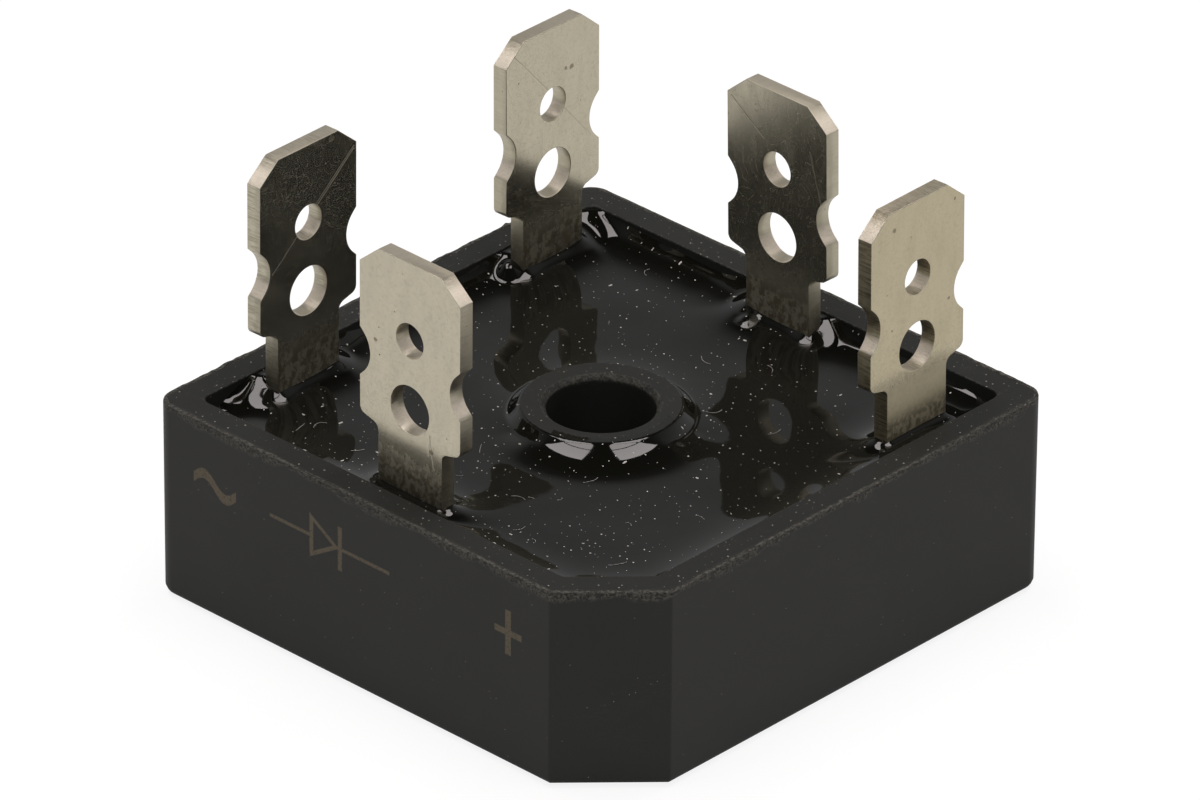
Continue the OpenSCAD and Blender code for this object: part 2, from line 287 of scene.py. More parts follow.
class Finish:
    """Builds one node tree: a material's, or the world's."""

    def __init__(self, owner):
        self.owner = owner
        owner.use_nodes = True
        self.tree = owner.node_tree
        self.tree.nodes.clear()

    def node(self, kind, settings=None, inputs=None):
        """Adds a node with its settings, then the values or links of its sockets."""
        made = self.tree.nodes.new("ShaderNode" + kind)
        for key, setting in (settings or {}).items():
            if key == "stops":
                self.set_stops(made.color_ramp, setting)
            else:
                setattr(made, key, setting)
        pairs = enumerate(inputs) if isinstance(inputs, (list, tuple)) else (inputs or {}).items()
        for key, content in pairs:
            self.feed(made.inputs[key], content)
        return Made(self, made)

    def feed(self, socket, content):
        """Links a socket to what an expression gives, or sets its value."""
        if isinstance(content, Made):
            content = content.socket()
        if isinstance(content, Value):
            content = content.socket
        if isinstance(content, bpy.types.NodeSocket):
            self.tree.links.new(content, socket)
        elif socket.type == "RGBA":
            socket.default_value = (*content, 1.0)
        else:
            socket.default_value = content

    @staticmethod
    def set_stops(ramp, stops):
        """Gives a ramp its greys, each with its place."""
        ramp.elements.remove(ramp.elements[1])
        for i, (place, grey) in enumerate(stops):
            element = ramp.elements[0] if i == 0 else ramp.elements.new(place)
            element.position = place
            element.color = (grey, grey, grey, 1.0)

    def millimetres(self):
        """Object coordinates in millimetres."""
        coords = self.node("TexCoord").socket("Object")
        return self.node("VectorMath", {"operation": "SCALE"}, {"Vector": coords, "Scale": 1 / MM}).socket()

    def split(self, vector):
        parts = self.node("SeparateXYZ", None, [vector])
        return parts.value("X"), parts.value("Y"), parts.value("Z")

    def stretch(self, vector, *factors):
        return self.node("VectorMath", {"operation": "MULTIPLY"}, [vector, factors]).socket()

    def noise(self, vector, scale, detail=2.0, rough=0.5, distort=0.0):
        inputs = {"Vector": vector, "Scale": scale, "Detail": detail, "Roughness": rough, "Distortion": distort}
        return self.node("TexNoise", None, inputs).value("Fac")

    def dots(self, vector, scale, edge, full):
        """Round spots, one in each cell, that end at the edge's radius and are full at the other."""
        made = self.node("TexVoronoi", None, {"Vector": vector, "Scale": scale})
        return self.step(made.value("Distance"), edge, full)

    def flecks(self, vector, scale, radius, share):
        """Small spots of mixed size that lie scattered in plan; a share of the cells has one."""
        made = self.node("TexVoronoi", {"voronoi_dimensions": "2D"}, {"Vector": vector, "Scale": scale})
        luck = self.node("SeparateColor", None, [made.socket("Color")])
        ragged = self.noise(vector, 9.0, 2.0, 0.7) * 0.8 + 0.6
        reach = (luck.value(0) ** 2 * radius + 0.012) * scale * ragged
        return (made.value("Distance") < reach) * (luck.value(1) < share)

    def step(self, value, low, high):
        """0 below low, 1 above high, and smooth between them; falls where low is above high."""
        inputs = {"Value": value, "From Min": low, "From Max": high}
        return self.node("MapRange", {"interpolation_type": "SMOOTHSTEP"}, inputs).value()

    def mix(self, factor, first, second):
        """A colour between two."""
        return self.node("Mix", {"data_type": "RGBA"}, {0: factor, 6: first, 7: second}).socket(2)

    def bump(self, height, distance):
        return self.node("Bump", None, {"Height": height, "Distance": distance}).socket()

    def surface(self, **sockets):
        """The material's shader, with its sockets by their names."""
        shader = self.node("BsdfPrincipled", None, {k.replace("_", " "): v for k, v in sockets.items()})
        self.node("OutputMaterial", None, {"Surface": shader})
        return self.owner


def new_finish(name):
    """An empty node tree for a material of that name, and its coordinates in millimetres."""
    f = Finish(bpy.data.materials.new(name))
    return f, f.millimetres()


def dress(piece, material):
    piece.data.materials.clear()
    piece.data.materials.append(material)


def scaled(shade, factor):
    """A darker or lighter colour, no channel above 1."""
    return tuple(min(1.0, c * factor) for c in shade)


# ---------------------------------------------------------------- modelling helpers


def deselect():
    if bpy.context.object and bpy.context.object.mode != "OBJECT":
        bpy.ops.object.mode_set(mode="OBJECT")
    bpy.ops.object.select_all(action="DESELECT")


def take(piece):
    """Makes a piece the only one selected."""
    deselect()
    piece.select_set(True)
    bpy.context.view_layer.objects.active = piece


def settle(piece):
    """Works its place, turn and scale into the mesh."""
    take(piece)
    bpy.ops.object.transform_apply(location=True, rotation=True, scale=True)


def added(name):
    """Names the primitive just added and settles it."""
    piece = bpy.context.object
    piece.name = name
    piece.data.name = name
    settle(piece)
    return piece


def linked(name, data, matrix=Matrix()):
    """A new object with that data, in that place."""
    thing = bpy.data.objects.new(name, data)
    bpy.context.collection.objects.link(thing)
    thing.matrix_world = matrix
    return thing


def block(name, low, high):
    """A cube primitive between two corners."""
    low, high = Vector(low), Vector(high)
    deselect()
    bpy.ops.mesh.primitive_cube_add(size=1.0, location=(low + high) / 2, scale=high - low)
    return added(name)


def rod(name, radius, low, high, sides=96, through_sheet=False, down=0.0):
    """An upright cylinder primitive on the axis, or one through a sheet, that far down from its tip."""
    middle = (low + high) / 2
    deselect()
    bpy.ops.mesh.primitive_cylinder_add(
        vertices=sides, radius=radius, depth=high - low,
        location=(middle, 0, -down) if through_sheet else (0, 0, middle),
        rotation=(0, math.pi / 2 if through_sheet else 0, 0),
    )
    return added(name)


def edit(piece):
    """Enters edit mode with everything selected."""
    take(piece)
    bpy.ops.object.mode_set(mode="EDIT")
    bpy.ops.mesh.select_all(action="SELECT")


def leave():
    bpy.ops.object.mode_set(mode="OBJECT")


def pick(piece, kind, test):
    """Enters edit mode with what passes the test selected: a vertex by its place, an edge by its two ends,
    or a face by its middle and normal."""
    take(piece)
    bpy.ops.object.mode_set(mode="EDIT")
    bpy.ops.mesh.select_mode(type=kind)
    bpy.ops.mesh.select_all(action="DESELECT")
    shape = bmesh.from_edit_mesh(piece.data)
    parts, given = {
        "VERT": (shape.verts, lambda vert: [vert.co]),
        "EDGE": (shape.edges, lambda edge: [vert.co for vert in edge.verts]),
        "FACE": (shape.faces, lambda face: [face.calc_center_median(), face.normal]),
    }[kind]
    for part in parts:
        part.select_set(bool(test(*given(part))))
    shape.select_flush_mode()
    bmesh.update_edit_mesh(piece.data)


def bevel(piece, kind, test, offset, segments=1):
    """Bevels the edges or vertices that pass the test."""
    pick(piece, kind, test)
    affect = {"EDGE": "EDGES", "VERT": "VERTICES"}[kind]
    bpy.ops.mesh.bevel(offset=offset, segments=segments, affect=affect)
    leave()


def modify(piece, kind, **settings):
    """Adds a modifier and applies it."""
    take(piece)
    modifier = piece.modifiers.new("step", kind)
    for key, setting in settings.items():
        setattr(modifier, key, setting)
    bpy.ops.object.modifier_apply(modifier=modifier.name)


def round_edges(piece, radius, segments, degrees, **settings):
    """Rounds every edge sharper than that angle."""
    modify(
        piece, "BEVEL", width=radius, segments=segments, limit_method="ANGLE",
        angle_limit=math.radians(degrees), use_clamp_overlap=True, **settings,
    )


def carve(piece, *cutters, operation="DIFFERENCE"):
    for cutter in cutters:
        modify(piece, "BOOLEAN", object=cutter, operation=operation, solver="EXACT")
        bpy.data.objects.remove(cutter)


def read_points(piece):
    points = np.empty(len(piece.data.vertices) * 3)
    piece.data.vertices.foreach_get("co", points)
    return points.reshape(-1, 3)


def write_points(piece, points):
    piece.data.vertices.foreach_set("co", points.ravel())
    piece.data.update()


def tidy(piece, merge=0.0005 * MM):
    """Joins points that lie together and turns every face outwards."""
    edit(piece)
    bpy.ops.mesh.remove_doubles(threshold=merge)
    bpy.ops.mesh.normals_make_consistent(inside=False)
    leave()


def smooth(piece, degrees, flats=False):
    """Smooths the shading; with flats, large flat faces keep theirs and the bevels take the turn."""
    take(piece)
    bpy.ops.object.shade_smooth_by_angle(angle=math.radians(degrees))
    if flats:
        modify(piece, "WEIGHTED_NORMAL", mode="FACE_AREA", weight=80, keep_sharp=True)


def upright(a, b):
    """True for an edge that runs along Z."""
    return math.hypot(a.x - b.x, a.y - b.y) < SAME / 10 and abs(a.z - b.z) > 10 * SAME


def at_cut(p):
    """True for a point of the quarter that holds the cut corner."""
    return p.x > 0 and p.y < 0


# ---------------------------------------------------------------- case


class RECTIFIER_OT_case(bpy.types.Operator):
    """Model the moulded case with its cut corner, cavity, floor, plate recess and screw tube"""

    bl_idname = "rectifier.case"
    bl_label = "Case"

    def execute(self, context):
        size = context.scene.rectifier_case
        piece = self.walls(size)
        self.floor_and_tube(piece, size)
        round_edges(piece, size.edge_radius, 2, 40, miter_outer="MITER_ARC")
        tidy(piece)
        smooth(piece, 50.0, flats=True)
        dress(piece, case_finish(size))
        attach(piece, BODY)
        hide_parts("case")
        return {"FINISHED"}

    def walls(self, size):
        """Block with the cut corner, hollowed from the top and rounded at its upright edges."""
        piece = block("case_moulding", CASE_LO, CASE_HI)
        bevel(piece, "EDGE", lambda a, b: upright(a, b) and at_cut(a), size.corner_cut)
        pick(piece, "FACE", lambda c, n: n.z > 0.9)
        bpy.ops.mesh.inset(thickness=WALL)
        bpy.ops.mesh.extrude_region_move(TRANSFORM_OT_translate={"value": (0, 0, POTTING_LO.z - CASE_HI.z)})
        leave()
        inner = CASE_HI.x - WALL + SAME

        def corner(a, b, inside):
            return upright(a, b) and not at_cut(a) and all((abs(v) < inner) == inside for v in (a.x, a.y))

        bevel(piece, "EDGE", lambda a, b: corner(a, b, True), size.cavity_radius, 5)
        bevel(piece, "EDGE", lambda a, b: corner(a, b, False), size.corner_radius, 8)
        bevel(piece, "EDGE", lambda a, b: max(a.z, b.z) < CASE_LO.z + SAME, size.foot_bevel, 2)
        return piece

    def floor_and_tube(self, piece, size):
        """Recess for the base plate, the tube and its hole."""
        over = 0.5 * MM
        low = (PLATE_LO.x, PLATE_LO.y, CASE_LO.z - over)
        recess = block("recess", low, (PLATE_HI.x, PLATE_HI.y, PLATE_HI.z))
        cut = size.corner_cut - (PLATE_LO.x - CASE_LO.x) * (2 - math.sqrt(2))
        bevel(recess, "EDGE", lambda a, b: upright(a, b) and at_cut(a), cut)
        bevel(recess, "EDGE", lambda a, b: upright(a, b) and not at_cut(a), size.plate_corner, 6)
        carve(piece, rod("tube", size.tube_radius, POTTING_LO.z - 0.3 * MM, TUBE_TOP), operation="UNION")
        carve(piece, recess, rod("hole", BORE_R, -over, CASE_HI.z + over))

        def mouth(a, b):
            at_top = min(a.z, b.z) > TUBE_TOP - SAME
            return at_top and all(abs(math.hypot(p.x, p.y) - BORE_R) < 0.02 * MM for p in (a, b))

        bevel(piece, "EDGE", mouth, TUBE_CHAMFER)


def case_finish(size):
    """Charcoal moulding: fine grain, faint scratches, a scuffed rim edge and the laser marks."""
    f, mm = new_finish("case_moulding")
    x, y, z = f.split(mm)
    half, top = CASE_HI.x / MM, CASE_HI.z / MM
    ragged = f.noise(mm, 3.0, 4.0, 0.65)
    crumbs = f.noise(mm, 8.0, 3.0, 0.7)
    # the outer top edge is broken into a crumbly band, wider in places
    cut_face = (2 * half - size.corner_cut / MM) / math.sqrt(2)
    from_side = (half - abs(x).most(abs(y))).least(cut_face - (x - y) * math.sqrt(0.5))
    coarse = f.noise(mm, 0.45, 2.0)
    down = (top - z) / (0.20 + f.step(coarse, 0.38, 0.64) * 0.30)
    band = f.step(from_side, 0.14, 0.03) * f.step(down, 1.15, 0.55) * f.step(ragged, 0.34, 0.52)
    lip = f.step(from_side, 0.38, 0.05) * f.step(z, top - 0.03, top)
    lip = lip * f.step(ragged + coarse * 0.5, 0.62, 0.86)
    inner_line = f.step(abs(from_side - WALL / MM), 0.10, 0.02) * f.step(z, top - 0.12, top - 0.02)
    # so is the mouth of the screw hole
    radius = (x * x + y * y) ** 0.5
    mouth = f.step(abs(radius - BORE_R / MM - 0.10), 0.22, 0.10) * f.step(z, 9.2, 9.45)
    mouth = mouth * f.step(ragged, 0.38, 0.55)
    worn = band.most(lip * 0.75).most(inner_line * f.step(ragged, 0.42, 0.60) * 0.6).most(mouth * 0.55)
    blotch = f.noise(mm, 0.22, 3.0, 0.55)
    grain = f.noise(mm, 28.0, 3.0, 0.6)
    # dust lies only on the rim
    upwards = f.split(f.node("TexCoord").socket("Normal"))[2]
    topside = f.step(z, 9.55, 9.65) * f.step(upwards, 0.75, 0.95)
    dust = f.flecks(mm, 2.6, 0.030, f.noise(mm, 0.4, 1.0) * 0.9 - 0.05) * topside
    specks = f.dots(mm, 2.6, 0.075, 0.045) * f.step(f.noise(mm, 0.7, 1.0), 0.50, 0.62)
    hair = f.noise(f.stretch(mm, 1.0, 1.0, 7.0), 0.9, 2.0, 0.5, 1.5)
    scratch = f.step(abs(hair - 0.5), 0.006, 0.0) * f.step(f.noise(mm, 0.35, 1.0), 0.56, 0.66)
    marks = mark_mask(f, x, y, z)
    shade = f.mix(blotch, scaled(size.body, 0.86), scaled(size.body, 1.16))
    shade = f.mix(scratch * 0.30, shade, size.scuff)
    shade = f.mix(worn * f.step(crumbs, 0.36, 0.62), shade, scaled(size.scuff, 1.05))
    shade = f.mix(specks * 0.8, shade, scaled(size.scuff, 3.0))
    shade = f.mix(dust * 0.8, shade, scaled(size.scuff, 4.5))
    shade = f.mix(marks * f.step(f.noise(mm, 9.0, 3.0, 0.7), 0.22, 0.52) * 0.85, shade, size.mark)
    rough = 0.44 + grain * 0.16 + worn * 0.25 + marks * 0.12 - scratch * 0.1
    height = grain * 0.5 + worn * (ragged + crumbs) * 3.0 + blotch * 2.0 - marks * 0.5
    normal = f.bump(height, 0.012 * MM)
    return f.surface(Base_Color=shade, Roughness=rough, Normal=normal, Specular_IOR_Level=0.24)


def bar(f, u, v, low, high):
    """1 inside a rectangle, with soft edges of a laser's width."""
    soft = 0.035
    inside = (u - low[0]).least(high[0] - u).least((v - low[1]).least(high[1] - v))
    return f.step(inside, -soft, soft)


def mark_mask(f, x, y, z):
    """Generic laser signs on the marked side: a wave by the AC terminal, a diode and a plus."""
    face = f.step(y, CASE_LO.y / MM + 0.12, CASE_LO.y / MM + 0.05)
    u = (x + 10.4) / 1.35
    swing = (u * math.pi).sin() * -0.42
    wave = f.step(abs(z - 7.0 - swing), 0.30, 0.22) * f.step(abs(u), 1.02, 0.97)
    plus = bar(f, x, z, (7.10, 6.80), (8.75, 7.12)).most(bar(f, x, z, (7.75, 5.82), (8.10, 8.10)))
    # the diode is a line, a hollow triangle that points along it, and a bar
    line = bar(f, x, z, (-6.9, 6.88), (0.6, 7.06))
    lean = (x + 4.4) * 0.62
    inside = (1.15 - lean * 1.0 - abs(z - 6.97)).least(x + 4.4)
    hollow = f.step(inside, -0.03, 0.03) * f.step(inside, 0.27, 0.21)
    stop = bar(f, x, z, (-2.62, 5.85), (-2.36, 8.10))
    diode = (line * f.step(inside, 0.02, -0.02)).most(hollow).most(stop)
    return wave.most(plus).most(diode) * face


class RECTIFIER_OT_flash(bpy.types.Operator):
    """Model the broken flash that stands along the case's outer top edge"""

    bl_idname = "rectifier.flash"
    bl_label = "Rim flash"

    def execute(self, context):
        size = context.scene.rectifier_case
        inset = 0.015 * MM
        deselect()
        bpy.ops.mesh.primitive_plane_add(size=2 * (CASE_HI.x - inset), location=(0, 0, CASE_HI.z - 0.03 * MM))
        piece = added("rim_flash")
        bevel(piece, "VERT", at_cut, size.corner_cut)
        bevel(
            piece, "VERT", lambda p: not at_cut(p) and abs(abs(p.x) - abs(p.y)) < SAME, size.corner_radius, 8
        )
        pick(piece, "FACE", lambda c, n: True)
        bpy.ops.mesh.inset(thickness=size.flash_width)
        bpy.ops.mesh.delete(type="FACE")
        leave()
        pick(piece, "EDGE", lambda a, b: (a - b).length > 2 * MM)
        bpy.ops.mesh.subdivide(number_cuts=420)
        leave()
        self.ruffle(piece, size)
        modify(piece, "SOLIDIFY", thickness=0.12 * MM, offset=-1.0)
        self.keep_within(piece, 0.002 * MM)
        tidy(piece)
        smooth(piece, 70.0)
        dress(piece, flash_finish(size))
        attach(piece, BODY)
        return {"FINISHED"}

    def ruffle(self, piece, size):
        """Lifts the outer edge in torn crests and lets the inner edge wander."""
        points = read_points(piece)
        outer = rim_distance(points[:, 0], points[:, 1], size) < 0.05 * MM
        along = np.arctan2(points[:, 1], points[:, 0])
        rng = np.random.default_rng(7)
        crest = torn_line(along, rng, 800) * 0.5 + torn_line(along, rng, 260) * 0.5
        bare = soft_between(torn_line(along, rng, 34), 0.25, 0.60)
        sliver = np.clip(torn_line(along, rng, 420) * 12 - 11.2, 0, 1)
        lift = 0.02 * MM + size.flash_height * (np.clip(crest * 1.6 - 0.35, 0, 1) * bare * 0.6 + sliver)
        points[:, 2] += np.where(outer, lift, 0.028 * MM + 0.35 * lift)
        shift = 1 + (torn_line(along, rng, 700) - 0.5) * 0.010 * (~outer)
        points[:, :2] *= shift[:, None]
        write_points(piece, points)
        self.keep_within(piece, 0.01 * MM)

    def keep_within(self, piece, margin):
        """Draws in whatever comes closer to the case's box than the margin."""
        points = read_points(piece)
        reach = CASE_HI.x - margin
        points[:, :2] = np.clip(points[:, :2], -reach, reach)
        write_points(piece, points)


def torn_line(along, rng, steps):
    """A random line round the case, from 0 to 1, that closes on itself."""
    heights = rng.random(steps)
    place = (along + math.pi) / (2 * math.pi) * steps
    low = np.floor(place).astype(int) % steps
    t = place - np.floor(place)
    return heights[low] * (1 - t) + heights[(low + 1) % steps] * t


def rim_distance(x, y, size):
    """Distance inwards from the case's outline, round corners and cut corner included."""
    cut_face = (2 * CASE_HI.x - size.corner_cut) / math.sqrt(2)
    turn = CASE_HI.x - size.corner_radius
    past = np.hypot(np.maximum(np.abs(x) - turn, 0.0), np.maximum(np.abs(y) - turn, 0.0))
    sides = CASE_HI.x - np.maximum(np.maximum(np.abs(x), np.abs(y)), turn + past)
    return np.minimum(sides, cut_face - (x - y) * math.sqrt(0.5))


def flash_finish(size):
    """Dull grey crumbs of resin with pale breaks."""
    f, mm = new_finish("rim_flash")
    crumbs = f.noise(mm, 5.0, 4.0, 0.7)
    pale = f.step(f.noise(mm, 11.0, 2.0, 0.6), 0.55, 0.70)
    tone = f.mix(f.step(crumbs, 0.42, 0.60), scaled(size.body, 1.25), size.scuff)
    tone = f.mix(pale * 0.6, tone, scaled(size.scuff, 1.9))
    normal = f.bump(crumbs, 0.05 * MM)
    return f.surface(Base_Color=tone, Roughness=0.55 + crumbs * 0.3, Normal=normal, Specular_IOR_Level=0.3)


# ---------------------------------------------------------------- potting


class RECTIFIER_OT_potting(bpy.types.Operator):
    """Model the potting: a fine surface that climbs the walls, the tube and the necks"""

    bl_idname = "rectifier.potting"
    bl_label = "Potting"

    def execute(self, context):
        size = context.scene.rectifier_potting
        case = context.scene.rectifier_case
        side = POTTING_HI.x - POTTING_LO.x
        deselect()
        bpy.ops.mesh.primitive_grid_add(
            x_subdivisions=size.cells, y_subdivisions=size.cells, size=side, location=(0, 0, size.level)
        )
        piece = added("potting_pour")
        inside_cut = case.corner_cut - WALL * (2 - math.sqrt(2))
        reach = side / 2 - inside_cut / 2
        edit(piece)
        bpy.ops.mesh.bisect(plane_co=(reach, -reach, 0), plane_no=(1, -1, 0), clear_outer=True, threshold=1e-7)
        leave()
        under_tube = case.tube_radius - 0.45 * MM
        pick(piece, "FACE", lambda c, n: math.hypot(c.x, c.y) < under_tube)
        bpy.ops.mesh.delete(type="FACE")
        leave()
        points = read_points(piece)
        points[:, 2] = size.level + surface_rise(points[:, 0], points[:, 1], size, case)
        write_points(piece, points)
        self.close_below(piece)
        smooth(piece, 60.0)
        dress(piece, potting_finish(size))
        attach(piece, BODY)
        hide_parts("potting")
        return {"FINISHED"}

    def close_below(self, piece):
        """Walls down from the surface's two outlines, and a bottom between them."""
        pick(piece, "EDGE", lambda a, b: False)
        bpy.ops.mesh.select_non_manifold(
            extend=False, use_boundary=True, use_wire=False, use_multi_face=False,
            use_non_contiguous=False, use_verts=False,
        )
        bpy.ops.mesh.extrude_region_move()
        bpy.ops.transform.resize(value=(1, 1, 0), center_override=(0, 0, POTTING_LO.z))
        bpy.ops.mesh.bridge_edge_loops()
        leave()
        tidy(piece)


def meniscus(gap, height, reach, foot, steep=0.0):
    """Height of resin that hangs on an edge, by the distance from it; a share of it is a steep lip."""
    lip = np.exp(-gap / (0.25 * MM))
    return height * (steep * lip + (1 - steep) * np.exp(-gap / reach)) * np.exp(-((gap / foot) ** 4))


def soft_between(value, low, high):
    """0 below low, 1 above high, and smooth between them."""
    t = np.clip((value - low) / (high - low), 0.0, 1.0)
    return t * t * (3 - 2 * t)


def soft_above(value, soft):
    """The value where it is above 0, and 0 elsewhere, with a soft bend between them."""
    return soft * np.logaddexp(0.0, value / soft)


def surface_rise(x, y, size, case):
    """How far the resin stands above its flat level at each place."""
    half = POTTING_HI.x
    necks = [neck_distance(name, x, y) for name in TERMINALS]
    by_neck = 1 - soft_between(np.minimum.reduce(necks), 0.5 * MM, 3.3 * MM)
    empty = np.minimum(np.hypot(x + half, y + half), np.hypot(x - half, y - half))
    wander = 0.5 + 0.25 * np.sin(x * 610 + 1.3) + 0.25 * np.sin(y * 730 - 0.6)
    bare = size.wall_climb * (0.75 + 0.5 * wander) * (0.12 + 0.88 * soft_between(empty, 1.0 * MM, 5.0 * MM))
    climb = bare * (1 - by_neck) + size.rim_climb * by_neck
    cut_face = (2 * CASE_HI.x - case.corner_cut) / math.sqrt(2) - WALL
    parts = []
    for gap in (half - x, half + x, half - y, half + y, cut_face - (x - y) * math.sqrt(0.5)):
        parts.append(meniscus(np.maximum(gap, 0.0), climb, 0.85 * MM, 2.3 * MM, steep=0.30))
    parts.append(tube_rise(x, y, size, case))
    for gap in necks:
        parts.append(meniscus(gap, size.neck_climb, 0.75 * MM, 2.4 * MM))
    # between a neck's end and the wall it is drawn up, and falls away from there as a fan
    soft = 0.07 * MM
    for name, stand in TERMINALS.items():
        inwards, along = neck_frame(name, x, y)
        for side in (-1, 1):
            apex = np.hypot(inwards + 0.30 * MM, along - side * 1.85 * MM)
            parts.append(soft_above(stand["fan"] * size.rim_climb - 0.54 * apex, soft))
    # the corner away from the cut one is filled up to the rim
    far_corner = np.hypot(x + half, y - half)
    parts.append(soft_above(size.rim_climb + 0.1 * MM - 0.43 * far_corner, soft))
    rise = sum(part**3 for part in parts) ** (1 / 3)
    for place, radius, height in BEADS:
        off = np.hypot(x - place[0] * MM, y - place[1] * MM) / (radius * MM)
        rise += height * MM * np.exp(-(off**3))
    rise -= size.corner_dip * np.exp(-((empty / (2.6 * MM)) ** 2))
    rise += 0.008 * MM * np.sin(x * 330 + 0.7) * np.sin(y * 290 + 2.1)
    return size.rim_climb - soft_above(size.rim_climb - rise, 0.035 * MM)


def tube_rise(x, y, size, case):
    """A steep skirt at the tube's flanks, drawn out to a gentle apron towards the cut corner."""
    gap = np.maximum(np.hypot(x, y) - case.tube_radius, 0.0)
    towards_cut = np.degrees(np.abs(np.angle((x + 1j * y) * np.exp(1j * math.pi / 4))))
    apron = meniscus(gap, size.tube_climb, 0.95 * MM, 2.2 * MM)
    cone = size.tube_climb - gap
    foot = 0.21 * MM * np.exp(-gap / (0.95 * MM) - (gap / (2.4 * MM)) ** 4)
    soft = 0.022 * MM
    skirt = soft * np.logaddexp(cone / soft, foot / soft)
    blend = soft_between(towards_cut, 38, 72)
    return apron * (1 - blend) + skirt * blend


def terminal_place(name):
    """The middle of a tab's outer face, level with its tip."""
    lo, hi = node_box(name)
    turn = TERMINALS[name]["turn"]
    middle = (lo + hi) / 2
    spot = {0: (lo.x, middle.y), 180: (hi.x, middle.y), 90: (middle.x, lo.y), -90: (middle.x, hi.y)}[turn]
    return Vector((*spot, hi.z))


def neck_frame(name, x, y):
    """Each place seen from a terminal: its distance inwards from the outer face, and along the sheet."""
    spot = terminal_place(name)
    turn = math.radians(TERMINALS[name]["turn"])
    dx, dy = x - spot.x, y - spot.y
    return dx * math.cos(turn) + dy * math.sin(turn), -dx * math.sin(turn) + dy * math.cos(turn)


def neck_distance(name, x, y):
    """Distance of each place from a terminal's neck, taken as a bar with round ends; 0 inside it."""
    tab = bpy.context.scene.rectifier_tabs
    inwards, along = neck_frame(name, x, y)
    beyond = np.maximum(np.abs(along) - (tab.neck_width / 2 - 0.28 * MM), 0.0)
    return np.maximum(np.hypot(inwards - tab.thickness / 2, beyond) - tab.thickness / 2, 0.0)


def potting_finish(size):
    """Glossy black resin with a slow ripple, scattered dust and a few dull smears."""
    f, mm = new_finish("potting_resin")
    ripple = f.noise(mm, 0.16, 1.0, 0.4)
    fine = f.noise(mm, 0.9, 2.0, 0.5)
    crowd = f.noise(mm, 0.22, 2.0, 0.6)
    fine_dust = f.flecks(mm, 2.6, 0.030, crowd * 0.95 - 0.20)
    flakes = f.flecks(f.stretch(mm, 0.5, 1.0, 1.0), 0.85, 0.044, crowd * 0.8 - 0.18)
    other_way = f.flecks(f.stretch(mm, 1.0, 0.45, 1.0), 0.75, 0.044, crowd * 0.8 - 0.20)
    dust = fine_dust.most(flakes).most(other_way) * (0.45 + f.noise(mm, 1.7, 1.0) * 0.9)
    film = f.step(f.noise(mm, 0.5, 4.0, 0.6), 0.52, 0.75)
    shade = f.mix(f.noise(mm, 0.3), scaled(size.resin, 0.85), scaled(size.resin, 1.2))
    shade = f.mix(dust, shade, size.dust)
    rough = 0.04 + film * 0.03 + dust * 0.5
    normal = f.bump(ripple + fine * 0.03 + dust * 0.05, 0.10 * MM)
    return f.surface(Base_Color=shade, Roughness=rough, Normal=normal, IOR=1.52)


class RECTIFIER_OT_fibres(bpy.types.Operator):
    """Lay a few short lint fibres on the potting"""

    bl_idname = "rectifier.fibres"
    bl_label = "Lint fibres"

    def execute(self, context):
        size = context.scene.rectifier_potting
        case = context.scene.rectifier_case
        rng = np.random.default_rng(11)
        lint = bpy.data.curves.new("lint", "CURVE")
        lint.dimensions = "3D"
        lint.bevel_depth = size.fibre / 2
        lint.bevel_resolution = 1
        lint.resolution_u = 3
        lint.use_fill_caps = True
        for x, y, heading, long, curl in self.places(rng):
            strand = lint.splines.new("NURBS")
            strand.points.add(5)
            strand.use_endpoint_u = True
            at = np.array([x, y])
            for point in strand.points:
                rise = float(surface_rise(at[:1], at[1:], size, case)[0])
                point.co = (*at, size.level + rise + size.fibre * (0.45 + 0.5 * rng.random()), 1.0)
                at = at + long / 5 * np.array([math.cos(heading), math.sin(heading)])
                heading += curl * (0.5 + rng.random())
        take(linked("lint_fibres", lint))
        bpy.ops.object.convert(target="MESH")
        piece = added("lint_fibres")
        smooth(piece, 60.0)
        dress(piece, lint_finish(size))
        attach(piece, BODY)
        return {"FINISHED"}

    def places(self, rng):
        """Place, heading, length and curl of each fibre, clear of the tube, the walls and the necks."""
        half = POTTING_HI.x - 1.8 * MM
        found = []
        while len(found) < 26:
            x, y = rng.uniform(-half, half, 2)
            beside = min(float(neck_distance(name, x, y)) for name in TERMINALS)
            if math.hypot(x, y) < 5.4 * MM or x - y > 19 * MM or beside < 1.6 * MM:
                continue
            found.append((x, y, rng.uniform(0, math.tau), rng.uniform(0.25, 0.95) * MM, rng.uniform(-0.5, 0.5)))
        return found


def lint_finish(size):
    """Pale dusty fibre."""
    f, mm = new_finish("lint")
    tone = f.mix(f.noise(mm, 4.0, 2.0), size.dust, scaled(size.dust, 0.55))
    normal = f.bump(f.noise(mm, 60.0, 2.0), 0.003 * MM)
    return f.surface(Base_Color=tone, Roughness=0.7 + f.noise(mm, 12.0) * 0.2, Normal=normal)


# ---------------------------------------------------------------- terminals


